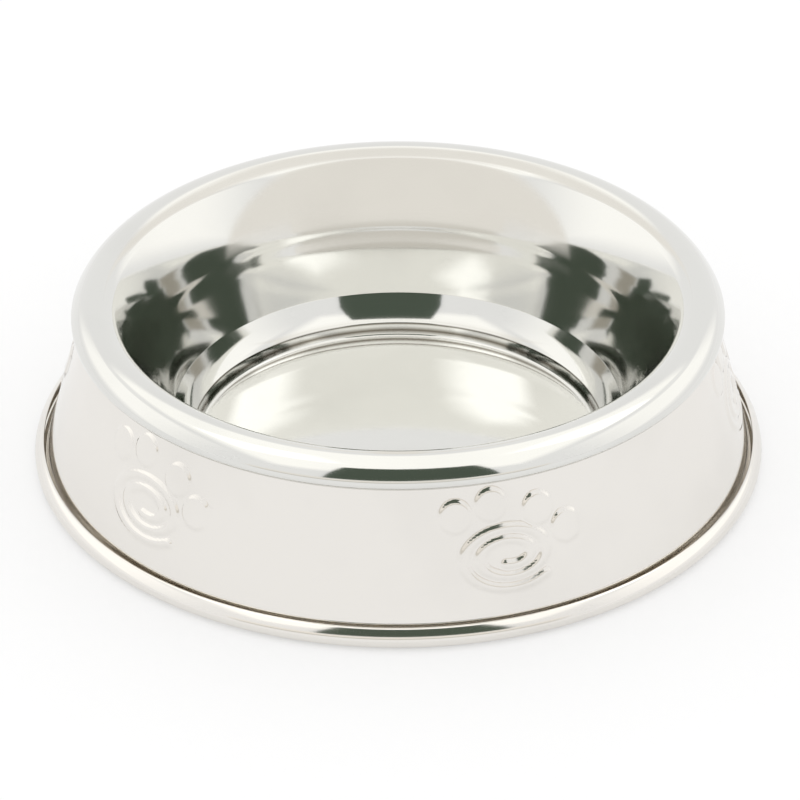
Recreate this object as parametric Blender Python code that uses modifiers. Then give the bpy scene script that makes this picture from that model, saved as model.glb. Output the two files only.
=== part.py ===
"""Anti-ant pet bowl: a steel dish hung by its rolled rim inside a steel skirt.

Three pieces share one axis. The dish is one drawn sheet, from its domed floor
to the rolled rim whose lip closes on the skirt. The skirt is one conical sheet
with six paw prints pressed outwards. Its top edge stands up inside the rolled
rim, and its foot is rolled outwards and up into a narrow moat that crawling
insects can't cross. A rubber ring sits inside the foot and carries the bowl.

Every turned shape is worked out in the plane of radius and height, as a list
of (radius, height) points that follows the side of the sheet that one sees.
"""

import math

import bmesh
import bpy

# Outside sizes, in metres.
BASE_DIAMETER = 0.254
HEIGHT = 0.0635
SHEET = 0.0006
FIT_GAP = 0.0003

# Floor, step and hollow band of the dish.
FLOOR_RADIUS = 0.0704
FLOOR_HEIGHT = 0.0034
FLOOR_DOME = 0.0006
FLOOR_FILLET = 0.0012
FILLET_END_ANGLE = -9.0
STEP_HEIGHT = 0.0045
STEP_ROUND = 0.0008
BAND_HOLLOW_RADIUS = 0.021
BAND_TOP_RADIUS = 0.0784
BAND_RISE = 0.0089

# Wall and rolled rim of the dish: a straight run, a flare, a round crown, a
# flatter shoulder and a tight lip. The wall's reach is taken from the top of
# the band out to the middle of the crown.
WALL_REACH = 0.0258
FLARE_RADIUS = 0.070
CROWN_RADIUS = 0.0082
CROWN_START_ANGLE = 143.0
SHOULDER_RADIUS = 0.0135
SHOULDER_START_ANGLE = 47.0
LIP_RADIUS = 0.0029
LIP_START_ANGLE = 28.0
LIP_END_ANGLE = -100.0

# Foot of the skirt: a neck, then a curl that opens upwards and leans back.
CURL_RADIUS = 0.0028
CURL_LIFT = 0.0006
CURL_START_ANGLE = 160.0
CURL_LEAN_ANGLE = 26.0
CURL_SLOPE_RADIUS = 0.0090
CURL_END_ANGLE = 49.0
CURL_EDGE = 0.0007
NECK_RADIUS = 0.0085

# Rubber ring inside the foot.
RING_WIDTH = 0.0065
RING_HEIGHT = 0.0070
RING_CHAMFER = 0.0008

# Paw prints pressed out of the skirt.
PAW_COUNT = 6
FIRST_PAW_ANGLE = 16.5
PAW_TILT = 14.0
PAW_BELOW_LIP = 0.0272
PRESS_HEIGHT = 0.0010
PRESS_ROOT = 0.75
TOE_DISTANCES = (0.0233, 0.0192, 0.0192, 0.0233)
TOE_ANGLES = (-61.0, -27.0, 27.0, 61.0)
TOE_RADIUS = 0.0062
TOE_DRAFT = 0.0013
PAD_CENTRE = (0.0010, 0.0005)
PAD_START_ANGLE = -48.0
PAD_START = (0.0178, 0.0119)
PAD_PITCH = (0.0055, 0.0040)
PAD_TURNS = 2.15
RIDGE_HALF_WIDTH = 0.0015

# Fineness of the meshes.
TURN_STEPS = 60
TOE_STEPS = 16
RIDGE_POINTS_PER_TURN = 16

STEEL = (0.80, 0.79, 0.76, 1.0)
RUBBER = (0.045, 0.047, 0.05, 1.0)


def clear_scene():
    """Remove whatever objects the open file holds."""
    for item in list(bpy.data.objects):
        bpy.data.objects.remove(item, do_unlink=True)


def new_collection(name):
    """Add an empty collection to the scene."""
    made = bpy.data.collections.new(name)
    bpy.context.scene.collection.children.link(made)
    return made


def new_material(name, colour, roughness, metallic):
    """Make a Principled material with one colour."""
    made = bpy.data.materials.new(name)
    made.use_nodes = True
    shader = made.node_tree.nodes["Principled BSDF"]
    shader.inputs["Base Color"].default_value = colour
    shader.inputs["Roughness"].default_value = roughness
    shader.inputs["Metallic"].default_value = metallic
    made.diffuse_color = colour
    return made


def polar(centre, radius, degrees):
    """Return the point at an angle on a circle in the profile plane."""
    angle = math.radians(degrees)
    return (centre[0] + radius * math.cos(angle), centre[1] + radius * math.sin(angle))


def arc(centre, radius, start, end, steps):
    """Return points along a circle, with both ends."""
    angles = [start + (end - start) * i / steps for i in range(steps + 1)]
    return [polar(centre, radius, angle) for angle in angles]


def bearing(start, end):
    """Return the direction in degrees from one point to another."""
    return math.degrees(math.atan2(end[1] - start[1], end[0] - start[0]))


def corner(before, point, after, radius, steps):
    """Return points that round the corner between two straight runs."""
    turn_in = bearing(point, before)
    opening = (bearing(point, after) - turn_in + 180.0) % 360.0 - 180.0
    half = math.radians(abs(opening) / 2.0)
    centre = polar(point, radius / math.sin(half), turn_in + opening / 2.0)
    side = 1.0 if opening > 0.0 else -1.0
    start = turn_in - side * 90.0
    sweep = side * (180.0 - abs(opening))
    return arc(centre, radius, start, start - sweep, steps)


def hollow(start, end, radius, steps):
    """Return points along the arc between two points that sags below their chord."""
    half = math.dist(start, end) / 2.0
    middle = ((start[0] + end[0]) / 2.0, (start[1] + end[1]) / 2.0)
    rise = math.sqrt(radius ** 2 - half ** 2)
    centre = polar(middle, rise, bearing(start, end) + 90.0)
    return arc(centre, radius, bearing(centre, start), bearing(centre, end), steps)


BAND_TOP = (BAND_TOP_RADIUS, FLOOR_HEIGHT + STEP_HEIGHT + BAND_RISE)
CROWN_CENTRE = (BAND_TOP_RADIUS + WALL_REACH, HEIGHT - CROWN_RADIUS)
FLARE_CENTRE = polar(CROWN_CENTRE, CROWN_RADIUS - FLARE_RADIUS, CROWN_START_ANGLE)
SHOULDER_CENTRE = polar(CROWN_CENTRE, CROWN_RADIUS - SHOULDER_RADIUS, SHOULDER_START_ANGLE)
LIP_CENTRE = polar(SHOULDER_CENTRE, SHOULDER_RADIUS - LIP_RADIUS, LIP_START_ANGLE)
CURL_CENTRE = (BASE_DIAMETER / 2.0 - CURL_RADIUS, CURL_LIFT + CURL_RADIUS)


def bottom_profile():
    """Return the floor, its fillet, the rounded step and the hollow band."""
    middle_height = FLOOR_HEIGHT + FLOOR_DOME
    floor = [(0.0, middle_height), (FLOOR_RADIUS / 2.0, middle_height - FLOOR_DOME / 4.0)]
    fillet_centre = (FLOOR_RADIUS, FLOOR_HEIGHT + FLOOR_FILLET)
    fillet = arc(fillet_centre, FLOOR_FILLET, -90.0, FILLET_END_ANGLE, 2)
    step_top = (fillet[-1][0] + SHEET / 2.0, FLOOR_HEIGHT + STEP_HEIGHT)
    band = hollow(step_top, BAND_TOP, BAND_HOLLOW_RADIUS, 3)
    step = corner(fillet[-1], step_top, band[1], STEP_ROUND, 2)
    return floor + fillet + step + band[1:]


def rim_profile():
    """Return the flare, which the straight wall touches, and the rolled rim."""
    distance = math.dist(BAND_TOP, FLARE_CENTRE)
    wall_slope = bearing(BAND_TOP, FLARE_CENTRE)
    wall_slope += math.degrees(math.asin(FLARE_RADIUS / distance))
    flare = arc(FLARE_CENTRE, FLARE_RADIUS, wall_slope + 90.0, CROWN_START_ANGLE, 3)
    crown = arc(CROWN_CENTRE, CROWN_RADIUS, CROWN_START_ANGLE, SHOULDER_START_ANGLE, 5)
    lip = arc(LIP_CENTRE, LIP_RADIUS, LIP_START_ANGLE, LIP_END_ANGLE, 5)
    return flare + crown[1:] + lip


def dish_profile():
    """Return the inside of the dish from its centre out to the end of the lip."""
    return bottom_profile() + rim_profile()


def skirt_line():
    """Return the two ends of the skirt's straight side, and its slope in degrees.

    The side starts inside the lip, a fit gap away from it, and touches the
    circle of the neck. Its upper end runs on inside the rolled rim until only
    the sheet and a fit gap lie between it and the crown.
    """
    lip_end = polar(LIP_CENTRE, LIP_RADIUS, LIP_END_ANGLE)
    start = (lip_end[0] - FIT_GAP - SHEET / 2.0, lip_end[1])
    neck_end = polar(CURL_CENTRE, CURL_RADIUS - SHEET, CURL_START_ANGLE)
    neck_centre = polar(neck_end, NECK_RADIUS, CURL_START_ANGLE)
    direction = bearing(start, neck_centre)
    direction += math.degrees(math.asin(NECK_RADIUS / math.dist(start, neck_centre)))
    touch = polar(neck_centre, NECK_RADIUS, direction + 90.0)

    across = (start[0] - CROWN_CENTRE[0], start[1] - CROWN_CENTRE[1])
    up = (-math.cos(math.radians(direction)), -math.sin(math.radians(direction)))
    inside = CROWN_RADIUS - SHEET - FIT_GAP
    along = across[0] * up[0] + across[1] * up[1]
    gap = inside ** 2 - (across[0] ** 2 + across[1] ** 2 - along ** 2)
    length = -along + math.sqrt(gap)
    top = (start[0] + up[0] * length, start[1] + up[1] * length)
    return top, touch, start, direction, neck_centre


def skirt_profile():
    """Return the outside of the skirt from its top edge to the edge of its curl."""
    top, touch, start, direction, neck_centre = skirt_line()
    neck = arc(neck_centre, NECK_RADIUS, direction + 90.0, CURL_START_ANGLE - 180.0, 3)
    inner = CURL_RADIUS - SHEET
    curl = arc(CURL_CENTRE, inner, CURL_START_ANGLE, 360.0 + CURL_LEAN_ANGLE, 7)
    lean_centre = polar(CURL_CENTRE, CURL_RADIUS - CURL_SLOPE_RADIUS, CURL_LEAN_ANGLE)
    lean = arc(lean_centre, CURL_SLOPE_RADIUS - SHEET, CURL_LEAN_ANGLE, CURL_END_ANGLE, 2)
    edge = polar(lean[-1], CURL_EDGE, CURL_END_ANGLE + 90.0)
    return [top, start] + neck + curl[1:] + lean[1:] + [edge]


def ring_profile():
    """Return the closed outline of the rubber ring, down its outer side first."""
    waist = CURL_CENTRE[0] - CURL_RADIUS - FIT_GAP
    inner = waist - RING_WIDTH
    return [
        (waist - RING_CHAMFER, RING_HEIGHT),
        (waist, RING_HEIGHT - RING_CHAMFER),
        (waist, RING_CHAMFER),
        (waist - RING_CHAMFER, 0.0),
        (inner + RING_CHAMFER, 0.0),
        (inner, RING_CHAMFER),
        (inner, RING_HEIGHT - RING_CHAMFER),
        (inner + RING_CHAMFER, RING_HEIGHT),
    ]


def turned(name, profile, closed, collection, material):
    """Turn a profile about the vertical axis with a Screw modifier."""
    mesh = bpy.data.meshes.new(name)
    points = [(radius, 0.0, height) for radius, height in profile]
    edges = [(i, i + 1) for i in range(len(points) - 1)]
    if closed:
        edges.append((len(points) - 1, 0))
    mesh.from_pydata(points, edges, [])
    mesh.materials.append(material)
    item = bpy.data.objects.new(name, mesh)
    collection.objects.link(item)
    screw = item.modifiers.new("Turn", "SCREW")
    screw.axis = "Z"
    screw.angle = math.tau
    screw.steps = TURN_STEPS
    screw.render_steps = TURN_STEPS
    screw.use_merge_vertices = True
    screw.merge_threshold = 0.00001
    screw.use_smooth_shade = True
    return item


def thicken(item):
    """Give a turned face the thickness of the sheet, away from the seen side."""
    shell = item.modifiers.new("Sheet", "SOLIDIFY")
    shell.thickness = SHEET
    shell.offset = -1.0
    shell.use_even_offset = True


def toe_places():
    """Return the middle of each toe, right and up from the middle of the pad."""
    places = []
    for distance, angle in zip(TOE_DISTANCES, TOE_ANGLES):
        lean = math.radians(angle + PAW_TILT)
        places.append((distance * math.sin(lean), distance * math.cos(lean)))
    return places


def ridge_points():
    """Return the middle line of the spiral ridge on the pad.

    It starts at the lower right and winds inwards clockwise, and it loses one
    pitch in each turn, wider across than up.
    """
    count = round(PAD_TURNS * RIDGE_POINTS_PER_TURN)
    points = []
    for i in range(count + 1):
        turns = PAD_TURNS * i / count
        angle = math.radians(PAD_START_ANGLE) - math.tau * turns
        across = (PAD_START[0] - PAD_PITCH[0] * turns) * math.cos(angle)
        up = (PAD_START[1] - PAD_PITCH[1] * turns) * math.sin(angle)
        points.append((PAD_CENTRE[0] + across, PAD_CENTRE[1] + up))
    return points


def flat_toe(place):
    """Make one toe as a low tapered disc, lying flat with its middle at place."""
    shape = bmesh.new()
    depth = PRESS_HEIGHT + PRESS_ROOT * SHEET
    bmesh.ops.create_cone(
        shape,
        cap_ends=True,
        cap_tris=True,
        segments=TOE_STEPS,
        radius1=TOE_RADIUS,
        radius2=TOE_RADIUS - TOE_DRAFT,
        depth=depth,
    )
    shift = (place[0], place[1], PRESS_HEIGHT - depth / 2.0)
    bmesh.ops.translate(shape, verts=shape.verts, vec=shift)
    mesh = bpy.data.meshes.new("toe")
    shape.to_mesh(mesh)
    shape.free()
    return mesh


def flat_ridge(collection):
    """Make the pad's spiral ridge as a tube, pressed flat to the ridge's height."""
    curve = bpy.data.curves.new("ridge", "CURVE")
    curve.dimensions = "3D"
    curve.bevel_depth = RIDGE_HALF_WIDTH
    curve.bevel_resolution = 1
    curve.use_fill_caps = True
    points = ridge_points()
    line = curve.splines.new("POLY")
    line.points.add(len(points) - 1)
    for target, point in zip(line.points, points):
        target.co = (point[0], point[1], 0.0, 1.0)
    item = bpy.data.objects.new("ridge", curve)
    collection.objects.link(item)
    evaluated = item.evaluated_get(bpy.context.evaluated_depsgraph_get())
    mesh = bpy.data.meshes.new_from_object(evaluated)
    bpy.data.objects.remove(item, do_unlink=True)

    depth = PRESS_HEIGHT + PRESS_ROOT * SHEET
    shape = bmesh.new()
    shape.from_mesh(mesh)
    bmesh.ops.remove_doubles(shape, verts=shape.verts, dist=0.00001)
    squeeze = depth / (2.0 * RIDGE_HALF_WIDTH)
    for vertex in shape.verts:
        vertex.co.z = vertex.co.z * squeeze + PRESS_HEIGHT - depth / 2.0
    shape.to_mesh(mesh)
    shape.free()
    return mesh


def wrap_on_skirt(point, paw_angle):
    """Carry a point of the flat paw onto the skirt's cone.

    The point is (right, up, out) from the middle of the pad. Right becomes an
    angle about the axis, up runs along the slope and out stands square to it.
    """
    top, touch, start, direction, neck_centre = skirt_line()
    slope = math.radians(direction)
    down = (math.cos(slope), math.sin(slope))
    outward = (-down[1], down[0])
    middle_radius = start[0] + down[0] * PAW_BELOW_LIP
    travel = PAW_BELOW_LIP - point[1]
    radius = start[0] + down[0] * travel + outward[0] * point[2]
    height = start[1] + down[1] * travel + outward[1] * point[2]
    turn = math.radians(paw_angle) + point[0] / middle_radius
    return (radius * math.sin(turn), -radius * math.cos(turn), height)


def paw_stamps(collection):
    """Make all the paw prints as one mesh that is joined to the skirt."""
    flat_shapes = [flat_toe(place) for place in toe_places()]
    flat_shapes.append(flat_ridge(collection))
    shape = bmesh.new()
    for number in range(PAW_COUNT):
        paw_angle = FIRST_PAW_ANGLE + 360.0 * number / PAW_COUNT
        for mesh in flat_shapes:
            known = set(shape.verts)
            shape.from_mesh(mesh)
            for vertex in shape.verts:
                if vertex not in known:
                    vertex.co = wrap_on_skirt(vertex.co.copy(), paw_angle)
    bmesh.ops.recalc_face_normals(shape, faces=shape.faces)
    mesh = bpy.data.meshes.new("paw_stamps")
    shape.to_mesh(mesh)
    shape.free()
    item = bpy.data.objects.new("paw_stamps", mesh)
    collection.objects.link(item)
    item.hide_render = True
    item.display_type = "WIRE"
    return item


def build_dish(collection, steel):
    """Build the dish with its floor, band, wall and rolled rim."""
    item = turned("inner_bowl", dish_profile(), False, collection, steel)
    thicken(item)
    return item


def build_skirt(collection, cutters, steel):
    """Build the skirt and join the pressed paw prints to its outside."""
    item = turned("outer_skirt", skirt_profile(), False, collection, steel)
    thicken(item)
    press = item.modifiers.new("Paw prints", "BOOLEAN")
    press.operation = "UNION"
    press.object = paw_stamps(cutters)
    return item


def build_ring(collection, rubber):
    """Build the rubber ring that the bowl stands on."""
    return turned("anti_skid_ring", ring_profile(), True, collection, rubber)


def main():
    """Build the whole bowl."""
    clear_scene()
    parts = new_collection("anti_ant_pet_bowl")
    cutters = new_collection("cutters")
    steel = new_material("polished_steel", STEEL, 0.12, 1.0)
    rubber = new_material("black_rubber", RUBBER, 0.75, 0.0)
    build_dish(parts, steel)
    build_skirt(parts, cutters, steel)
    build_ring(parts, rubber)


main()
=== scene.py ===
# %% [markdown]
# # A steel pet bowl with a moat against ants
# Two drawn sheets of polished steel make this bowl. The dish hangs by its rolled rim inside
# a conical skirt, and the skirt's foot is rolled outwards and up into a narrow open moat.
# A rubber ring inside the foot carries it all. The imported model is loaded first, because
# every surface below is fitted to its boxes and stands in for one of its nodes.

import bpy
import numpy as np
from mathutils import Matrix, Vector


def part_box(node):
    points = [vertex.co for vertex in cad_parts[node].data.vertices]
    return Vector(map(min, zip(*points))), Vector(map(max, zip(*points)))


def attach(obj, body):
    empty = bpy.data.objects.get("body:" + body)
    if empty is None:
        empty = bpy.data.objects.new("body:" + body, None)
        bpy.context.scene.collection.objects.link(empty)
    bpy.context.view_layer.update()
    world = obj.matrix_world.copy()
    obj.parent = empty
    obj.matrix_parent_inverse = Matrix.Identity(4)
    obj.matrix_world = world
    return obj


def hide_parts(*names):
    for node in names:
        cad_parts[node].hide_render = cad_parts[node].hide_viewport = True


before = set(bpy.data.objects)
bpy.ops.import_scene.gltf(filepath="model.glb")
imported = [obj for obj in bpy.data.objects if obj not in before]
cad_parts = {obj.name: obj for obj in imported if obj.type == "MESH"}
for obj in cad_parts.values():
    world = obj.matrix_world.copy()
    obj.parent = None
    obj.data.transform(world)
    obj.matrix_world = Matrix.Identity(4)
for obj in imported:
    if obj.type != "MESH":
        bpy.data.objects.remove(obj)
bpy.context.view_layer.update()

# %% [markdown]
# ## Sizes
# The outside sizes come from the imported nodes, so the scene follows the model if it grows.
# What is left are the sheet's own sizes, which a press tool would set: the thickness, the
# radii of its rounds and the places where the section changes. They are written in metres.

# %% Outside sizes from the frame
dish_low, dish_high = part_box("inner_bowl")
skirt_low, skirt_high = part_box("outer_skirt")
ring_low, ring_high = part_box("anti_skid_ring")
MM = 0.001
RIM_TOP = dish_high.z
FOOT_REACH = skirt_high.x
FOOT_BOTTOM = skirt_low.z
SHEET = 0.6 * MM
FIT_GAP = 0.3 * MM
print(f"Foot {2 * FOOT_REACH / MM:.1f} mm across, bowl {RIM_TOP / MM:.1f} mm high")

# %% [markdown]
# ## Drawing a section
# A pressed sheet is a chain of straight runs and tangent arcs. Each helper below returns an
# array of (radius, height) points, so a section reads like a drawing: arc, line, arc. The
# rounds get more points than the straights, because reflections bend most on them.

# %% Points on circles and lines
SAME_POINT = 1e-7


def polar(centre, radius, degrees):
    """Points on a circle: the centre plus radius times (cosine, sine) of each angle."""
    angle = np.radians(degrees)
    return np.asarray(centre) + radius * np.stack([np.cos(angle), np.sin(angle)], axis=-1)


def arc(centre, radius, start, end, count):
    """Points along a circle from one angle to another, with both ends."""
    return polar(centre, radius, np.linspace(start, end, count))


def straight(start, end, count):
    """Points along a straight run: start plus a share of the way to the end."""
    share = np.linspace(0.0, 1.0, count)[:, None]
    return np.asarray(start) + share * (np.asarray(end) - np.asarray(start))


def chain(*runs):
    """Join runs end to end and drop each point that repeats the one before."""
    line = np.concatenate(runs)
    step = np.linalg.norm(np.diff(line, axis=0), axis=1)
    return line[np.append(True, step > SAME_POINT)]


def bearing(start, end):
    """Direction in degrees from one point to another."""
    return np.degrees(np.arctan2(end[1] - start[1], end[0] - start[0]))


def rounded(before, point, after, radius, count):
    """An arc that touches both straight runs of a corner.

    Its centre lies on the bisector, at the radius divided by the sine of half
    the opening.
    """
    turn_in = bearing(point, before)
    opening = (bearing(point, after) - turn_in + 180.0) % 360.0 - 180.0
    half = np.radians(abs(opening) / 2.0)
    centre = polar(point, radius / np.sin(half), turn_in + opening / 2.0)
    side = np.sign(opening)
    start = turn_in - side * 90.0
    return arc(centre, radius, start, start - side * (180.0 - abs(opening)), count)


print("A quarter circle in 3 points:", arc((0.0, 0.0), 1.0, 0.0, 90.0, 3).round(3).tolist())

# %% [markdown]
# ## The dish's section
# From the centre outwards: a floor that rises a little in the middle, a small fillet, a
# step, a short hollow band, a wall in two slopes, and the rolled rim. The rim isn't one
# circle. It is round on top, flatter on its outer shoulder, and tight where the lip tucks
# in under it, which is why the room shows in it as one broad strip.

# %% Floor, step and band
FLOOR_RADIUS = 69.5 * MM
FLOOR_HEIGHT = 3.4 * MM
FLOOR_DOME = 0.6 * MM
FLOOR_FILLET = 1.2 * MM
FILLET_END = -16.0
STEP_RADIUS = 71.9 * MM
STEP_HEIGHT = 4.5 * MM
STEP_ROUND = 0.7 * MM
BAND_HOLLOW = 25.0 * MM
BAND_STRAIGHT = 3.6 * MM
BAND_SLOPE = 59.0
KNEE_ROUND = 2.0 * MM
BAND_TOP_RADIUS = 78.4 * MM
BAND_RISE = 8.9 * MM
STEP_TOP = FLOOR_HEIGHT + STEP_HEIGHT
band_top = np.array([BAND_TOP_RADIUS, STEP_TOP + BAND_RISE])


def floor_line():
    """The domed floor: its height falls from the middle with the radius squared."""
    radius = np.linspace(0.0, FLOOR_RADIUS, 16)
    height = FLOOR_HEIGHT + FLOOR_DOME * (1.0 - (radius / FLOOR_RADIUS) ** 2)
    return np.stack([radius, height], axis=-1)


def hollow_between(start, end, radius, count):
    """The shorter arc of one radius between two points, sagging below their chord."""
    chord = np.asarray(end) - np.asarray(start)
    half = np.hypot(*chord) / 2.0
    side = bearing(start, end) + 90.0
    middle = (np.asarray(start) + np.asarray(end)) / 2.0
    centre = polar(middle, np.sqrt(radius ** 2 - half ** 2), side)
    return arc(centre, radius, bearing(centre, start), bearing(centre, end), count)


def step_lines():
    """Fillet, riser, rounded step and the hollow band."""
    centre = (FLOOR_RADIUS, FLOOR_HEIGHT + FLOOR_FILLET)
    fillet = arc(centre, FLOOR_FILLET, -90.0, FILLET_END, 12)
    step_point = np.array([STEP_RADIUS, STEP_TOP])
    bend = band_top - polar((0.0, 0.0), BAND_STRAIGHT, BAND_SLOPE)
    band = hollow_between(step_point, bend, BAND_HOLLOW, 18)
    step = rounded(fillet[-1], step_point, band[2], STEP_ROUND, 8)
    riser = straight(fillet[-1], step[0], 4)
    return chain(fillet, riser, step, band[2:])


print("The band ends at", (band_top / MM).round(1).tolist(), "mm out and up")

# %% [markdown]
# On the wall's left and right the photograph shows dark patches one above the other, with a
# pale streak between them, as if the slope changed slightly halfway up. Drawing a sheet in
# two strokes can leave such a line, so that is what is built, though the line itself can't
# be seen. It could be a groove with edges. Here it is a smooth step of less than two tenths
# of a millimetre, which fades to nothing before the band and the rim, or a crease would
# show.

# %% Draw line
DRAW_LINE_HEIGHT = 38.8 * MM
DRAW_LINE_SHIFT = 0.09 * MM
DRAW_LINE_WIDTH = 1.4 * MM
DRAW_LINE_FADE = 21.0 * MM


def draw_line(height):
    """Sideways shift of the wall: minus a tanh across the line, times a fade.

    The fade is the square of one less the squared distance, as a share of its reach.
    """
    away = height - DRAW_LINE_HEIGHT
    fade = np.clip(1.0 - (away / DRAW_LINE_FADE) ** 2, 0.0, 1.0) ** 2
    return -DRAW_LINE_SHIFT * np.tanh(away / DRAW_LINE_WIDTH) * fade


print("Draw line", round(DRAW_LINE_HEIGHT / MM, 1), "mm above the ground")

# %% [markdown]
# The wall stands on the band's top, bends a little on its way up and flares into the rim.
# The flare bulges inwards, so it is an arc whose centre lies outside the bowl. Each arc is
# placed by tangency from the one above it, so a changed radius leaves no kink.

# %% Wall and rolled rim
WALL_BEND_HEIGHT = 33.0 * MM
LOWER_WALL_SLOPE = 70.6
WALL_BEND_ROUND = 60.0 * MM
CROWN_RADIUS = 8.2 * MM
CROWN_REACH = 104.2 * MM
CROWN_START = 143.0
FLARE_RADIUS = 70.0 * MM
SHOULDER_RADIUS = 13.5 * MM
SHOULDER_ANGLES = (47.0, 28.0)
LIP_RADIUS = 2.9 * MM
LIP_END = -100.0
crown_centre = np.array([CROWN_REACH, RIM_TOP - CROWN_RADIUS])
flare_centre = polar(crown_centre, CROWN_RADIUS - FLARE_RADIUS, CROWN_START)
shoulder_centre = polar(crown_centre, CROWN_RADIUS - SHOULDER_RADIUS, SHOULDER_ANGLES[0])
lip_centre = polar(shoulder_centre, SHOULDER_RADIUS - LIP_RADIUS, SHOULDER_ANGLES[1])
lip_end = polar(lip_centre, LIP_RADIUS, LIP_END)


def wall_lines():
    """Knee, lower slope, swell, upper slope that touches the flare, and the flare."""
    rise = (WALL_BEND_HEIGHT - band_top[1]) / np.sin(np.radians(LOWER_WALL_SLOPE))
    middle = band_top + polar((0.0, 0.0), rise, LOWER_WALL_SLOPE)
    reach = np.hypot(*(flare_centre - middle))
    slope = bearing(middle, flare_centre) + np.degrees(np.arcsin(FLARE_RADIUS / reach))
    touch = polar(flare_centre, FLARE_RADIUS, slope + 90.0)
    flare = arc(flare_centre, FLARE_RADIUS, slope + 90.0, CROWN_START, 30)
    bend = band_top - polar((0.0, 0.0), BAND_STRAIGHT, BAND_SLOPE)
    knee = rounded(bend, band_top, middle, KNEE_ROUND, 7)
    swell = rounded(band_top, middle, touch, WALL_BEND_ROUND, 6)
    wall = chain(knee, straight(knee[-1], swell[0], 12), swell,
                 straight(swell[-1], touch, 26), flare)
    wall[:, 0] += draw_line(wall[:, 1])
    return wall


def rim_line():
    """Crown, shoulder and lip, each arc tangent to the one before."""
    crown = arc(crown_centre, CROWN_RADIUS, CROWN_START, SHOULDER_ANGLES[0], 34)
    shoulder = arc(shoulder_centre, SHOULDER_RADIUS, *SHOULDER_ANGLES, 14)
    lip = arc(lip_centre, LIP_RADIUS, SHOULDER_ANGLES[1], LIP_END, 20)
    return chain(crown, shoulder, lip)


def dish_section():
    """The whole upper side of the dish, from its centre to the end of its lip."""
    return chain(floor_line(), step_lines(), wall_lines(), rim_line())


dish_line = dish_section()
print("Dish section:", len(dish_line), "points, widest at",
      round(dish_line[:, 0].max() / MM, 2), "mm")

# %% [markdown]
# ## From a section to a sheet
# A lathe-like modifier could turn the section, and Solidify could thicken it. Here both
# are written out, because the paw prints have to be pressed into the same grid. The
# section is moved sideways by the sheet's thickness for its other side, both sides are
# joined to one outline, and the outline is carried round the axis.

# %% Other side of a sheet, and a closed grid
def normals_of(line):
    """Unit normals to the left of a section's direction of travel, on the side that shows."""
    along = np.gradient(line, axis=0)
    along = along / np.linalg.norm(along, axis=1)[:, None]
    return np.stack([-along[:, 1], along[:, 0]], axis=-1)


def round_the_axis(line, turn):
    """Grid of points (radius cos turn, radius sin turn, height) for each row and column."""
    radius, turn = np.broadcast_arrays(line[..., 0], turn)
    height = np.broadcast_to(line[..., 1], radius.shape)
    return np.stack([radius * np.cos(turn), radius * np.sin(turn), height], axis=-1)


def ring_faces(rows, columns):
    """Quads between rows i, i + 1 and columns j, j + 1 that meet their first ones both ways."""
    index = np.arange(rows * columns).reshape(rows, columns)
    after = np.roll(index, -1, axis=1)
    quads = np.stack([index, np.roll(index, -1, axis=0), np.roll(after, -1, axis=0), after],
                     axis=-1)
    return quads.reshape(-1, 4).tolist()


def tube_faces(rows, columns):
    """The same quads without those that join the last row to the first."""
    return ring_faces(rows, columns)[:(rows - 1) * columns]


def new_piece(name, points, faces, node, material):
    """Make a smooth mesh object that stands in for a CAD node, hides that node and hangs under
    the root body.
    """
    mesh = bpy.data.meshes.new(name)
    mesh.from_pydata(points, [], faces)
    mesh.materials.append(material)
    mesh.shade_smooth()
    piece = bpy.data.objects.new(name, mesh)
    bpy.context.scene.collection.objects.link(piece)
    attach(piece, "root")
    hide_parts(node)
    print(name, "has", sum(len(face) - 2 for face in faces), "triangles")
    return piece


# %% [markdown]
# ## Finishes
# Polished steel shows mostly what stands round it, so its finish is in small departures
# from a mirror: faint rings left by the polishing wheel, a slow waviness of the drawn
# sheet, handling marks that dull it in patches, and brown painted shade in the tight corners.
# Each effect is a node group with named inputs, built once and placed in a material with
# its own values.

# %% Helpers for node groups
def new_group(name, inputs, outputs):
    """Start a shader node group with float inputs (name, default) and float outputs."""
    group = bpy.data.node_groups.new(name, "ShaderNodeTree")
    for label, default in inputs:
        socket = group.interface.new_socket(label, in_out="INPUT", socket_type="NodeSocketFloat")
        socket.default_value = default
    for label in outputs:
        group.interface.new_socket(label, in_out="OUTPUT", socket_type="NodeSocketFloat")
    start = group.nodes.new("NodeGroupInput")
    end = group.nodes.new("NodeGroupOutput")
    return group, start, end


def maths(tree, operation, first, second=None, third=None):
    """Add a Math node whose inputs are sockets or plain numbers."""
    node = tree.nodes.new("ShaderNodeMath")
    node.operation = operation
    for socket, value in zip(node.inputs, (first, second, third)):
        if isinstance(value, bpy.types.NodeSocket):
            tree.links.new(value, socket)
        elif value is not None:
            socket.default_value = value
    return node.outputs[0]


def noise(tree, vector, scale, detail):
    """Add a Noise Texture on a vector and return its value."""
    node = tree.nodes.new("ShaderNodeTexNoise")
    node.inputs["Detail"].default_value = detail
    tree.links.new(vector, node.inputs["Vector"])
    if isinstance(scale, bpy.types.NodeSocket):
        tree.links.new(scale, node.inputs["Scale"])
    else:
        node.inputs["Scale"].default_value = scale
    return node.outputs["Fac"]


def object_place(tree):
    """Object coordinates, which stay with the piece when it moves."""
    return tree.nodes.new("ShaderNodeTexCoord").outputs["Object"]


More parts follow.
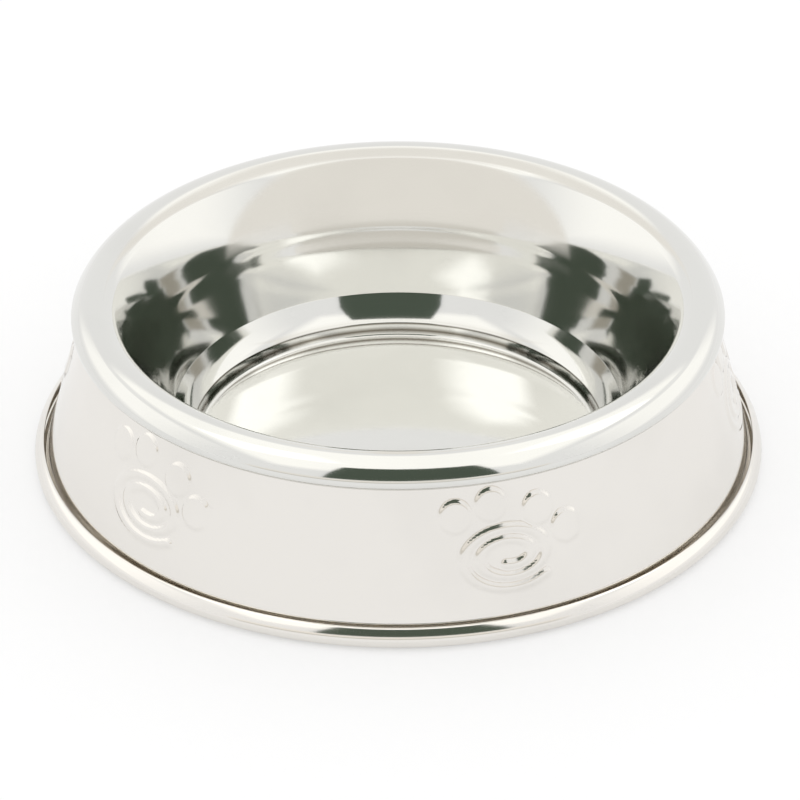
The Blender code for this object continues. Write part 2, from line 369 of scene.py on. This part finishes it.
# %% Polishing rings
def polishing_rings():
    """Fine rings about the axis: noise on (radius, height) that hardly changes with the turn."""
    group, start, end = new_group("Polishing rings", [("Rings per Metre", 1800.0)], ["Rings"])
    split = group.nodes.new("ShaderNodeSeparateXYZ")
    group.links.new(object_place(group), split.inputs[0])
    squares = maths(group, "MULTIPLY", split.outputs[0], split.outputs[0])
    squares = maths(group, "MULTIPLY_ADD", split.outputs[1], split.outputs[1], squares)
    joined = group.nodes.new("ShaderNodeCombineXYZ")
    group.links.new(maths(group, "SQRT", squares), joined.inputs[0])
    group.links.new(split.outputs[2], joined.inputs[1])
    group.links.new(maths(group, "MULTIPLY", split.outputs[0], 0.01), joined.inputs[2])
    rings = noise(group, joined.outputs[0], start.outputs["Rings per Metre"], 2.0)
    group.links.new(rings, end.inputs["Rings"])
    return group


rings_group = polishing_rings()
print("Node group:", rings_group.name)


# %% Handling marks, the sheet's waviness and the painted corner shade
def handling_marks():
    """Patches that a hand or a cloth has dulled: coarse noise, cut by a threshold."""
    group, start, end = new_group("Handling marks", [("Size", 22.0), ("Amount", 0.5)], ["Dull"])
    coarse = noise(group, object_place(group), start.outputs["Size"], 4.0)
    above = maths(group, "SUBTRACT", coarse, 0.5)
    dull = maths(group, "MULTIPLY", above, 4.0)
    held = maths(group, "MINIMUM", maths(group, "MAXIMUM", dull, 0.0), 1.0)
    group.links.new(maths(group, "MULTIPLY", held, start.outputs["Amount"]), end.inputs["Dull"])
    return group


def sheet_waviness():
    """The slow swell that drawing leaves in a thin sheet: one octave of wide noise."""
    group, start, end = new_group("Sheet waviness", [("Swells per Metre", 26.0)], ["Height"])
    swell = noise(group, object_place(group), start.outputs["Swells per Metre"], 0.5)
    group.links.new(swell, end.inputs["Height"])
    return group


def painted_corner_shade():
    """Painted shade in a band of heights, as a share: 1 at its middle, falling evenly to both
    sides.
    """
    group, start, end = new_group("Painted corner shade", [("Height", 5.4 * MM), ("Reach", 1.0 * MM)],
                                  ["Brown"])
    split = group.nodes.new("ShaderNodeSeparateXYZ")
    group.links.new(object_place(group), split.inputs[0])
    away = maths(group, "ABSOLUTE", maths(group, "SUBTRACT", split.outputs[2],
                                          start.outputs["Height"]))
    share = maths(group, "SUBTRACT", 1.0, maths(group, "DIVIDE", away, start.outputs["Reach"]))
    group.links.new(maths(group, "MAXIMUM", share, 0.0), end.inputs["Brown"])
    return group


marks_group = handling_marks()
painted_shade_group = painted_corner_shade()
waviness_group = sheet_waviness()
print("Node groups:", [group.name for group in (marks_group, painted_shade_group, waviness_group)])

# %% [markdown]
# ## Steel and rubber
# The steel is a metallic Principled shader with a warm grey. Its roughness stays near a
# mirror's and rises a little on the rings and marks, and two Bump nodes bend the
# reflections: one for the swell of the sheet, one for the rings. The rubber of the hidden
# ring is dull and fine-grained, as moulded rubber is.

# %% Polished steel
RINGS_PER_METRE = 1800.0
RING_RELIEF = 0.0006 * MM
RING_DULLING = 0.02
MARK_SIZE = 22.0
MARK_DULLING = 0.035
MARK_DARKENING = 0.96
SWELLS_PER_METRE = 26.0
SWELL_RELIEF = 0.02 * MM


def place_group(tree, group, **values):
    """Place a node group in a material and set its inputs by name."""
    node = tree.nodes.new("ShaderNodeGroup")
    node.node_tree = group
    for label, value in values.items():
        node.inputs[label.replace("_", " ")].default_value = value
    return node


def bump(tree, height, distance, strength, below=None):
    """Bend the normals by a height, on top of another Bump where one is given."""
    node = tree.nodes.new("ShaderNodeBump")
    node.inputs["Distance"].default_value = distance
    node.inputs["Strength"].default_value = strength
    tree.links.new(height, node.inputs["Height"])
    if below is not None:
        tree.links.new(below, node.inputs["Normal"])
    return node.outputs["Normal"]


def polished_steel(name, tint, roughness):
    """Steel whose roughness is a base value plus shares of the rings and the marks."""
    material = bpy.data.materials.new(name)
    material.use_nodes = True
    tree = material.node_tree
    shader = tree.nodes["Principled BSDF"]
    shader.inputs["Metallic"].default_value = 1.0
    rings = place_group(tree, rings_group, Rings_per_Metre=RINGS_PER_METRE)
    marks = place_group(tree, marks_group, Size=MARK_SIZE, Amount=1.0)
    waviness = place_group(tree, waviness_group, Swells_per_Metre=SWELLS_PER_METRE)

    dulled = maths(tree, "MULTIPLY_ADD", marks.outputs["Dull"], MARK_DULLING, roughness)
    worn = maths(tree, "MULTIPLY_ADD", rings.outputs["Rings"], RING_DULLING, dulled)
    tree.links.new(worn, shader.inputs["Roughness"])

    colour = tree.nodes.new("ShaderNodeMix")
    colour.data_type = "RGBA"
    colour.inputs["A"].default_value = tint
    colour.inputs["B"].default_value = (*(MARK_DARKENING * value for value in tint[:3]), 1.0)
    tree.links.new(marks.outputs["Dull"], colour.inputs["Factor"])
    tree.links.new(colour.outputs["Result"], shader.inputs["Base Color"])

    swelled = bump(tree, waviness.outputs["Height"], SWELL_RELIEF, 1.0)
    ringed = bump(tree, rings.outputs["Rings"], RING_RELIEF, 1.0, swelled)
    tree.links.new(ringed, shader.inputs["Normal"])
    return material


DISH_TINT = (0.745, 0.742, 0.715, 1.0)
DISH_ROUGHNESS = 0.06
SKIRT_TINT = (0.81, 0.785, 0.745, 1.0)
SKIRT_ROUGHNESS = 0.09
dish_steel = polished_steel("dish steel", DISH_TINT, DISH_ROUGHNESS)
skirt_steel = polished_steel("skirt steel", SKIRT_TINT, SKIRT_ROUGHNESS)
print("Materials:", dish_steel.name, "and", skirt_steel.name)

# %% [markdown]
# Two brown lines run round the dish's floor in the photograph, one in the fillet and one
# under the step. They may be a reflection. Here they are painted shade: brown bands painted
# into the steel's colour in these two corners, so that they stay in place from every side.

# %% Painted shade round the floor
# Painted shade: a dark brown painted into the dish's colour in two bands of heights, in the
# fillet and under the step.
PAINTED_SHADE_BROWN = (0.15, 0.13, 0.10, 1.0)
PAINTED_SHADE_BANDS = [(5.4 * MM, 1.3 * MM), (7.65 * MM, 0.45 * MM)]


def paint_corner_shade(material, bands, brown):
    """Paint shade: mix the steel's colour towards brown in each band of heights (height, reach).
    """
    tree = material.node_tree
    shader = tree.nodes["Principled BSDF"]
    shade_mask = 0.0
    for height, reach in bands:
        node = place_group(tree, painted_shade_group, Height=height, Reach=reach)
        shade_mask = maths(tree, "MAXIMUM", node.outputs["Brown"], shade_mask)
    colour = tree.nodes.new("ShaderNodeMix")
    colour.data_type = "RGBA"
    tree.links.new(shader.inputs["Base Color"].links[0].from_socket, colour.inputs["A"])
    colour.inputs["B"].default_value = brown
    tree.links.new(shade_mask, colour.inputs["Factor"])
    tree.links.new(colour.outputs["Result"], shader.inputs["Base Color"])


paint_corner_shade(dish_steel, PAINTED_SHADE_BANDS, PAINTED_SHADE_BROWN)
print("Painted shade in", len(PAINTED_SHADE_BANDS), "bands")


# %% Black rubber
def black_rubber():
    """Dull rubber with patches in its colour and a fine grain in its roughness and surface."""
    material = bpy.data.materials.new("black rubber")
    material.use_nodes = True
    tree = material.node_tree
    shader = tree.nodes["Principled BSDF"]
    grain = noise(tree, object_place(tree), 900.0, 3.0)
    marks = place_group(tree, marks_group, Size=60.0, Amount=1.0)
    colour = tree.nodes.new("ShaderNodeMix")
    colour.data_type = "RGBA"
    colour.inputs["A"].default_value = (0.030, 0.031, 0.033, 1.0)
    colour.inputs["B"].default_value = (0.055, 0.056, 0.058, 1.0)
    tree.links.new(marks.outputs["Dull"], colour.inputs["Factor"])
    tree.links.new(colour.outputs["Result"], shader.inputs["Base Color"])
    tree.links.new(maths(tree, "MULTIPLY_ADD", grain, 0.2, 0.6), shader.inputs["Roughness"])
    tree.links.new(bump(tree, grain, 0.05 * MM, 0.6), shader.inputs["Normal"])
    return material


rubber = black_rubber()
print("Material:", rubber.name)

# %% [markdown]
# ## The dish
# One closed sheet. Its rows run over the upper side to the lip and back along the under
# side, and both ends meet the axis in a single point that a fan of triangles closes.

# %% Build the dish
DISH_COLUMNS = 320
KEEP_EVERY = 3


def under_side(line):
    """The other face of a sheet: a thinned section moved by the thickness, end first."""
    moved = line - SHEET * normals_of(line)
    kept = np.append(np.arange(0, len(line) - 1, KEEP_EVERY), len(line) - 1)
    return moved[kept][::-1]


def build_dish():
    """Turn the dish's outline, with a pole at each end."""
    outline = np.concatenate([dish_line, under_side(dish_line)])
    turn = np.linspace(0.0, 2.0 * np.pi, DISH_COLUMNS, endpoint=False)
    rings = round_the_axis(outline[1:-1, None, :], turn[None, :])
    rows = len(rings)
    body = rings.reshape(-1, 3)
    poles = np.array([[0.0, 0.0, outline[0, 1]], [0.0, 0.0, outline[-1, 1]]])
    faces = tube_faces(rows, DISH_COLUMNS)
    here = np.arange(DISH_COLUMNS)
    after = np.roll(here, -1)
    last = (rows - 1) * DISH_COLUMNS
    top, under = len(body), len(body) + 1
    faces += np.stack([np.full_like(here, top), here, after], axis=-1).tolist()
    faces += np.stack([np.full_like(here, under), last + after, last + here], axis=-1).tolist()
    points = np.concatenate([body, poles])
    return new_piece("steel_dish", points, faces, "inner_bowl", dish_steel)


dish = build_dish()

# %% [markdown]
# ## The skirt's section
# A straight cone from inside the rolled rim down to a soft neck, then the foot: the sheet
# turns under, out and up again, and its edge leans back towards the skirt. Crawling
# insects meet the open channel behind that edge. The section follows the outer side of
# the cone, which becomes the inner side of the channel.

# %% Cone, neck and rolled foot
CURL_RADIUS = 2.8 * MM
CURL_START = 160.0
SLOPE_RADIUS = 9.0 * MM
SLOPE_ANGLES = (26.0, 49.0)
CURL_EDGE = 0.7 * MM
NECK_RADIUS = 4.0 * MM
curl_centre = np.array([FOOT_REACH - CURL_RADIUS, FOOT_BOTTOM + CURL_RADIUS])
slope_centre = polar(curl_centre, CURL_RADIUS - SLOPE_RADIUS, SLOPE_ANGLES[0])


def cone_line():
    """Top, lip height and neck end of the cone, its bearing and the neck's centre.

    The cone starts a fit gap inside the lip and touches the neck's circle. Its
    top end runs up until a fit gap is left under the rolled crown.
    """
    at_lip = np.array([lip_end[0] - FIT_GAP - SHEET / 2.0, lip_end[1]])
    neck_end = polar(curl_centre, CURL_RADIUS - SHEET, CURL_START)
    neck_centre = polar(neck_end, NECK_RADIUS, CURL_START)
    distance = np.hypot(*(neck_centre - at_lip))
    downhill = bearing(at_lip, neck_centre) + np.degrees(np.arcsin(NECK_RADIUS / distance))
    touch = polar(neck_centre, NECK_RADIUS, downhill + 90.0)
    uphill = polar((0.0, 0.0), 1.0, downhill + 180.0)
    across = at_lip - crown_centre
    along = across @ uphill
    inside = CROWN_RADIUS - SHEET - FIT_GAP
    length = np.sqrt(inside ** 2 - across @ across + along ** 2) - along
    return at_lip + uphill * length, at_lip, touch, downhill, neck_centre


cone_top, at_lip, cone_foot, downhill, neck_centre = cone_line()
CONE_LENGTH = np.hypot(*(cone_foot - at_lip))
print(f"Cone {CONE_LENGTH / MM:.1f} mm long at {downhill:.1f} degrees")

# %% [markdown]
# ## The paw print
# Each print is pressed out of the skirt from behind: four toes with flat tops and a soft
# edge, and a pad drawn as one ridge that winds inwards. The relief is a height over the
# flattened skirt. A toe's height follows the distance to its middle. The pad's follows the
# distance to a spiral, measured on a sheet that is squeezed sideways until the spiral's
# pitch is the same both ways, so the ridge is wider where it runs up and down. Three prints
# show in the photograph, at uneven distances, and the other three share what is left.

# %% Toes
PAW_PLACES = np.array([-47.2, 18.0, 86.0, 142.7, 199.3, 256.0])
PAW_TILT = 14.0
PAW_BELOW_LIP = 27.2 * MM
PRESS_HEIGHT = 0.6 * MM
TOE_DISTANCES = np.array([23.3, 19.2, 19.2, 23.3]) * MM
TOE_ANGLES = np.array([-61.0, -27.0, 27.0, 61.0])
TOE_RADIUS = 6.3 * MM
TOE_SLOPE = 1.2 * MM
toe_lean = np.radians(TOE_ANGLES + PAW_TILT)
toes = TOE_DISTANCES[:, None] * np.stack([np.sin(toe_lean), np.cos(toe_lean)], axis=-1)
print("Toes, right and up from the pad in mm:", (toes / MM).round(1).tolist())


def smooth(share):
    """A soft step from 0 to 1: three squares less two cubes of the share."""
    share = np.clip(share, 0.0, 1.0)
    return share * share * (3.0 - 2.0 * share)


def toe_relief(across, up):
    """Height of the four toes, as a share: each falls off over its sloping edge."""
    far = np.hypot(across[..., None] - toes[:, 0], up[..., None] - toes[:, 1])
    return smooth((TOE_RADIUS - far) / TOE_SLOPE).max(axis=-1)


# %% Spiral pad
PAD_CENTRE = np.array([1.0, 0.5]) * MM
PAD_START = -48.0
PAD_REACH = np.array([17.8, 11.9]) * MM
PAD_PITCH = np.array([5.5, 4.0]) * MM
PAD_TURNS = 2.15
RIDGE_HALF_WIDTH = 1.9 * MM
RIDGE_SLOPE = 1.3 * MM
SPIRAL_POINTS = 240


def spiral_line():
    """The ridge's middle line: an ellipse whose radii lose one pitch in each turn."""
    turns = np.linspace(0.0, PAD_TURNS, SPIRAL_POINTS)
    angle = np.radians(PAD_START) - 2.0 * np.pi * turns
    reach = PAD_REACH - PAD_PITCH * turns[:, None]
    return PAD_CENTRE + reach * np.stack([np.cos(angle), np.sin(angle)], axis=-1)


spiral = spiral_line()
squeeze = PAD_PITCH[1] / PAD_PITCH[0]


def ridge_relief(across, up):
    """Height of the ridge, as a share: flat on top, with a soft slope on each side."""
    aside = (across[..., None] - spiral[:, 0]) * squeeze
    above = up[..., None] - spiral[:, 1]
    far = np.sqrt((aside ** 2 + above ** 2).min(axis=-1))
    return smooth((RIDGE_HALF_WIDTH - far) / RIDGE_SLOPE)


# %% [markdown]
# ## The skirt
# One closed sheet again, this time as a ring. Its columns crowd together where a print is
# and spread between the prints, so the relief is sharp without wasting faces. The seen
# side carries the whole relief and the other side only the toes, at a lower height, because
# the sheet there follows the tool more loosely.

# %% Columns and rows of the skirt
CONE_ROWS = 68
BACK_SHARE = 0.6
PRINT_REACH = 27.0 * MM
PRINT_STEP = 0.5 * MM
PLAIN_STEP = 3.2 * MM
middle_radius = at_lip[0] + np.cos(np.radians(downhill)) * PAW_BELOW_LIP


def skirt_turns():
    """Angles of the columns: fine steps over each print and wide ones between."""
    half = PRINT_REACH / middle_radius
    fine = int(2.0 * PRINT_REACH / PRINT_STEP)
    places = np.radians(np.append(PAW_PLACES, PAW_PLACES[0] + 360.0) - 90.0)
    turns = []
    for here, after in zip(places[:-1], places[1:]):
        wide = int((after - here - 2.0 * half) * middle_radius / PLAIN_STEP)
        turns.append(np.linspace(here - half, here + half, fine, endpoint=False))
        turns.append(np.linspace(here + half, after - half, wide, endpoint=False))
    return np.concatenate(turns)


def foot_line(neck_count, curl_count, slope_count):
    """Neck, curl and sloping edge, on the side that the cone shows."""
    neck = arc(neck_centre, NECK_RADIUS, downhill + 90.0, CURL_START - 180.0, neck_count)
    end = 360.0 + SLOPE_ANGLES[0]
    curl = arc(curl_centre, CURL_RADIUS - SHEET, CURL_START, end, curl_count)
    slope = arc(slope_centre, SLOPE_RADIUS - SHEET, *SLOPE_ANGLES, slope_count)
    edge = polar(slope[-1], CURL_EDGE, SLOPE_ANGLES[1] + 90.0)
    return chain(neck, curl, slope, [edge])


def build_skirt():
    """Press the relief into the cone's rows and close the sheet into a ring."""
    cone = straight(at_lip, cone_foot, CONE_ROWS)
    front = chain(straight(cone_top, at_lip, 3), cone, foot_line(6, 16, 5))
    whole = chain(straight(cone_top, at_lip, 2), straight(at_lip, cone_foot, 12),
                  foot_line(3, 12, 5))
    back = (whole - SHEET * normals_of(whole))[::-1]
    outline = np.concatenate([front, back])
    outward = np.concatenate([normals_of(front), normals_of(whole)[::-1]])
    seen = np.arange(len(outline)) < len(front)

    turn = skirt_turns()
    step = (np.degrees(turn)[:, None] + 270.0 - PAW_PLACES) % 360.0 - 180.0
    from_print = step[np.arange(len(turn)), np.abs(step).argmin(axis=1)]
    across = np.broadcast_to(np.radians(from_print) * middle_radius, (len(outline), len(turn)))
    unit = polar((0.0, 0.0), 1.0, downhill)
    travel = (outline - at_lip) @ unit
    up = np.broadcast_to((PAW_BELOW_LIP - travel)[:, None], across.shape)
    near = (np.abs(across) < PRINT_REACH) & (travel > 0.0)[:, None]
    near &= (travel < CONE_LENGTH)[:, None] & (outline[:, 1] > cone_foot[1])[:, None]

    relief = np.zeros(across.shape)
    front_near = near & seen[:, None]
    back_near = near & ~seen[:, None]
    pressed = toe_relief(across[front_near], up[front_near])
    ridge = ridge_relief(across[front_near], up[front_near])
    relief[front_near] = PRESS_HEIGHT * np.maximum(pressed, ridge)
    toes_behind = toe_relief(across[back_near], up[back_near])
    relief[back_near] = BACK_SHARE * PRESS_HEIGHT * toes_behind
    line = outline[:, None, :] + outward[:, None, :] * relief[..., None]
    points = round_the_axis(line, turn[None, :])
    return new_piece("steel_skirt", points.reshape(-1, 3), ring_faces(*points.shape[:2]),
                     "outer_skirt", skirt_steel)


skirt = build_skirt()

# %% [markdown]
# ## The rubber ring
# It shows only from below. A moulded ring has no sharp corners, so its section is a
# rectangle with four quarter rounds, turned about the axis.

# %% Build the ring
RING_ROUND = 0.9 * MM
RING_COLUMNS = 240
RING_WIDTH = 6.5 * MM


def build_ring():
    """Turn a rounded rectangle, down its outer side first."""
    reach = ring_high.x
    inner = reach - RING_WIDTH
    high, low = ring_high.z - RING_ROUND, ring_low.z + RING_ROUND
    corners = [((reach - RING_ROUND, high), 90.0), ((reach - RING_ROUND, low), 0.0),
               ((inner + RING_ROUND, low), -90.0), ((inner + RING_ROUND, high), -180.0)]
    outline = np.concatenate([arc(c, RING_ROUND, a, a - 90.0, 7) for c, a in corners])
    turn = np.linspace(0.0, 2.0 * np.pi, RING_COLUMNS, endpoint=False)
    points = round_the_axis(outline[:, None, :], turn[None, :])
    return new_piece("rubber_ring", points.reshape(-1, 3), ring_faces(*points.shape[:2]),
                     "anti_skid_ring", rubber)


ring = build_ring()

# %% [markdown]
# ## The studio
# Mirror steel looks like its room, so the room is built for it: a white tent with one dark
# opening in front, where a photographer stands, a table and a sheet below it, cabinets
# and white sheets at the sides, and a ceiling with two soft lights. All are cards that only
# reflections see, so they neither shade the floor nor block the camera.
#
# The inside of a bowl mirrors itself, so a card shows there once directly and again after
# two or three bounces. A plain room can't give both as the photograph has them. Some cards
# therefore show only between a first and a last bounce, which Light Path's Ray Depth
# counts. That isn't how a real room works: it is a help for this view's reflections.

# %% White world
def white_world():
    """A plain white sky at strength 1."""
    world = bpy.data.worlds.new("white tent")
    world.use_nodes = True
    sky = world.node_tree.nodes["Background"]
    sky.inputs["Color"].default_value = (1.0, 1.0, 1.0, 1.0)
    sky.inputs["Strength"].default_value = 1.0
    bpy.context.scene.world = world


white_world()
print("World:", bpy.context.scene.world.name)


# %% Cards that only reflections see
ALL_BOUNCES = (1, 99)
LEAST_SOFT = 0.001


def card_material(name, colour, soft, bounces):
    """Plain light of one colour, shown only at some bounces and faded towards its edges.

    Softness is the faded share of the half side, as one number or as one each way. The
    fade follows the nearer edge: its distance, divided by the softness, on a smooth step.
    """
    material = bpy.data.materials.new(name)
    material.use_nodes = True
    tree = material.node_tree
    tree.nodes.clear()
    out = tree.nodes.new("ShaderNodeOutputMaterial")
    light = tree.nodes.new("ShaderNodeEmission")
    light.inputs["Color"].default_value = colour
    place = tree.nodes.new("ShaderNodeUVMap")
    split = tree.nodes.new("ShaderNodeSeparateXYZ")
    tree.links.new(place.outputs[0], split.inputs[0])
    edges = []
    for axis, share in enumerate(np.broadcast_to(soft, 2)):
        inside = maths(tree, "SUBTRACT", 1.0, maths(tree, "ABSOLUTE", split.outputs[axis]))
        edges.append(maths(tree, "DIVIDE", inside, max(share, LEAST_SOFT)))
    nearest = maths(tree, "MINIMUM", *edges)
    fade = tree.nodes.new("ShaderNodeMapRange")
    fade.interpolation_type = "SMOOTHSTEP"
    tree.links.new(nearest, fade.inputs["Value"])
    clear = tree.nodes.new("ShaderNodeBsdfTransparent")
    mixed = tree.nodes.new("ShaderNodeMixShader")
    rays = tree.nodes.new("ShaderNodeLightPath")
    first, last = bounces
    late = maths(tree, "GREATER_THAN", rays.outputs["Ray Depth"], first - 0.5)
    early = maths(tree, "LESS_THAN", rays.outputs["Ray Depth"], last + 0.5)
    timed = maths(tree, "MULTIPLY", late, early)
    shown = maths(tree, "MULTIPLY", fade.outputs["Result"], timed)
    tree.links.new(shown, mixed.inputs["Fac"])
    tree.links.new(clear.outputs[0], mixed.inputs[1])
    tree.links.new(light.outputs[0], mixed.inputs[2])
    tree.links.new(mixed.outputs[0], out.inputs["Surface"])
    return material


def card(name, centre, right, up, colour, soft=0.0, bounces=ALL_BOUNCES):
    """A rectangle from its centre and two half sides, with a map that runs from -1 to 1."""
    spread = np.array([[-1.0, -1.0], [1.0, -1.0], [1.0, 1.0], [-1.0, 1.0]])
    points = np.asarray(centre) + spread @ np.array([right, up])
    mesh = bpy.data.meshes.new(name)
    mesh.from_pydata(points, [], [[0, 1, 2, 3]])
    mesh.uv_layers.new(name="map").uv.foreach_set("vector", spread.ravel())
    mesh.materials.append(card_material(name, (*colour, 1.0), soft, bounces))
    item = bpy.data.objects.new(name, mesh)
    bpy.context.scene.collection.objects.link(item)
    item.visible_camera = False
    item.visible_diffuse = False
    item.visible_shadow = False
    return item


# %% [markdown]
# The opening is what draws the dark strip on the rim and the dark rectangle low in the
# bowl. The table and the sheet under it show across the far wall as faint streaks, a little
# darker than the rest.

# %% The front of the room
FRONT = -0.70
DARK_GREEN = (0.085, 0.108, 0.082)
CREAM = (0.98, 0.945, 0.89)
card("opening", (0.065, FRONT, 0.77), (0.375, 0.0, 0.0), (0.0, 0.0, 0.41), DARK_GREEN, 0.01)
card("opening top", (0.0, FRONT, 1.30), (0.45, 0.0, 0.0), (0.0, 0.0, 0.16), DARK_GREEN, 0.1,
     (2, 2))
card("front table", (0.0, FRONT, 0.195), (0.8, 0.0, 0.0), (0.0, 0.0, 0.04),
     (0.70, 0.67, 0.61), 0.2)
card("front sheet", (0.0, FRONT, 0.295), (0.8, 0.0, 0.0), (0.0, 0.0, 0.065), CREAM, 0.02)
print("The opening is", -FRONT, "m in front of the bowl")

# %% [markdown]
# The dark patches at the bowl's left and right have two sources. The inner ones are the
# opening. The outer ones are a dark front that shows from the third bounce on, because
# without it the wall there breaks up into light and dark streaks, and in the photograph it
# is mostly dark. The cabinets leave small dark marks beside the patches, and the side
# sheets brighten the side walls a little.

# %% Both sides of the room
for side in (-1.0, 1.0):
    card("wood", (side * 0.80, FRONT, 0.50), (0.32, 0.0, 0.0), (0.0, 0.0, 0.22),
         (0.50, 0.47, 0.41), 0.5, (2, 2))
    card("cabinet", (side * 1.5, FRONT, 0.47), (0.0, 0.28, 0.0), (0.0, 0.0, 0.50),
         DARK_GREEN, 0.08, (2, 99))
    card("low cabinet", (side * 1.5, -0.09, 0.27), (0.0, 0.36, 0.0), (0.0, 0.0, 0.26),
         DARK_GREEN, 0.08, (2, 99))
    card("side sheet", (side * 2.2, 0.9, 1.10), (0.0, 2.4, 0.0), (0.0, 0.0, 0.90),
         (1.28, 1.27, 1.24), (0.75, 0.5))
card("dark front", (0.0, FRONT + 0.01, 0.60), (1.6, 0.0, 0.0), (0.0, 0.0, 0.40), DARK_GREEN,
     0.05, (3, 99))
print("Two sides and the front, as the third bounce sees it")

# %% [markdown]
# The ceiling and its two lights brighten the dish's floor. A photographer holds up a small
# card, a flag, to keep one reflection off one place. Two flags near the back do that here:
# they keep the opening and the ceiling off the far wall and the far rim.

# %% Ceiling, lights and flags
LIGHT = (1.9, 1.9, 1.88)
card("ceiling", (0.0, 0.0, 2.0), (2.2, 0.0, 0.0), (0.0, 2.2, 0.0), (1.31, 1.30, 1.26), 0.3)
card("left light", (-0.72, -0.09, 1.5), (0.48, 0.0, 0.0), (0.0, 0.42, 0.0), LIGHT, 0.6)
card("right light", (0.97, 0.35, 1.5), (0.55, 0.0, 0.0), (0.0, 0.50, 0.0), LIGHT, 0.6)
card("flag", (0.0, 0.050, 0.100), (0.011, 0.0, 0.0), (0.0, 0.0, 0.062), CREAM, (0.6, 0.35),
     (1, 1))
card("rim flag", (0.0, 0.105, 0.140), (0.055, 0.0, 0.0), (0.0, 0.060, 0.0),
     (1.02, 0.99, 0.94), 0.6, (1, 1))

# %% [markdown]
# ## The floor
# A wide pale floor. Part of its light is its own, so that it renders white and runs into
# the white world, and part is reflected, so that it keeps the bowl's soft shadow. Seen
# from below it is clear, which lets the underside be looked at.

# %% Pale floor
FLOOR_PAINT = (0.62, 0.62, 0.62, 1.0)
FLOOR_GLOW = 0.40
FLOOR_HALF = 8.0


def floor_material():
    """A diffuse floor with some light of its own, clear from below."""
    material = bpy.data.materials.new("pale floor")
    material.use_nodes = True
    tree = material.node_tree
    tree.nodes.clear()
    out = tree.nodes.new("ShaderNodeOutputMaterial")
    paint = tree.nodes.new("ShaderNodeBsdfDiffuse")
    paint.inputs["Color"].default_value = FLOOR_PAINT
    glow = tree.nodes.new("ShaderNodeEmission")
    rays = tree.nodes.new("ShaderNodeLightPath")
    seen = maths(tree, "MAXIMUM", rays.outputs["Is Camera Ray"], rays.outputs["Is Glossy Ray"])
    seen = maths(tree, "MAXIMUM", seen, rays.outputs["Is Transmission Ray"])
    tree.links.new(maths(tree, "MULTIPLY", seen, FLOOR_GLOW), glow.inputs["Strength"])
    both = tree.nodes.new("ShaderNodeAddShader")
    tree.links.new(paint.outputs[0], both.inputs[0])
    tree.links.new(glow.outputs[0], both.inputs[1])
    side = tree.nodes.new("ShaderNodeNewGeometry")
    clear = tree.nodes.new("ShaderNodeBsdfTransparent")
    mixed = tree.nodes.new("ShaderNodeMixShader")
    tree.links.new(side.outputs["Backfacing"], mixed.inputs["Fac"])
    tree.links.new(both.outputs[0], mixed.inputs[1])
    tree.links.new(clear.outputs[0], mixed.inputs[2])
    tree.links.new(mixed.outputs[0], out.inputs["Surface"])
    return material


def build_floor():
    """A square floor under the bowl's lowest point."""
    spread = FLOOR_HALF * np.array([[-1.0, -1.0], [1.0, -1.0], [1.0, 1.0], [-1.0, 1.0]])
    points = np.column_stack([spread, np.full(4, ring_low.z)])
    mesh = bpy.data.meshes.new("floor")
    mesh.from_pydata(points, [], [[0, 1, 2, 3]])
    mesh.materials.append(floor_material())
    item = bpy.data.objects.new("floor", mesh)
    bpy.context.scene.collection.objects.link(item)


build_floor()
print("Floor at", round(ring_low.z, 5), "m")

# %% [markdown]
# ## The camera
# The photograph was taken from the front and about 32 degrees above the floor. Its ellipses
# fit a long lens two metres away, held very slightly askew. Light is followed over ten
# glossy bounces, because with Blender's usual four small parts of the bowl's side walls
# turn black.

# %% Camera
CAMERA_DISTANCE = 2.032
CAMERA_ELEVATION = 31.88
CAMERA_ROLL = -0.15
AIM_HEIGHT = 19.8 * MM
LENS = 262.3
SIDE_SHIFT = 0.00225
GLOSSY_BOUNCES = 10


def build_camera():
    """Stand back from the aim along the line of sight, and look down along it."""
    data = bpy.data.cameras.new("camera")
    data.sensor_width = 36.0
    data.lens = LENS
    data.shift_x = SIDE_SHIFT
    camera = bpy.data.objects.new("camera", data)
    bpy.context.scene.collection.objects.link(camera)
    back = polar((0.0, AIM_HEIGHT), CAMERA_DISTANCE, CAMERA_ELEVATION)
    camera.location = (0.0, -back[0], back[1])
    tilt = np.radians(90.0 - CAMERA_ELEVATION)
    camera.rotation_mode = "ZXY"
    camera.rotation_euler = (tilt, 0.0, 0.0)
    camera.rotation_euler.rotate_axis("Z", np.radians(CAMERA_ROLL))
    bpy.context.scene.camera = camera


build_camera()
bpy.context.scene.view_settings.view_transform = "Standard"
bpy.context.scene.cycles.glossy_bounces = GLOSSY_BOUNCES
print("Camera", CAMERA_DISTANCE, "m away with a", LENS, "mm lens")
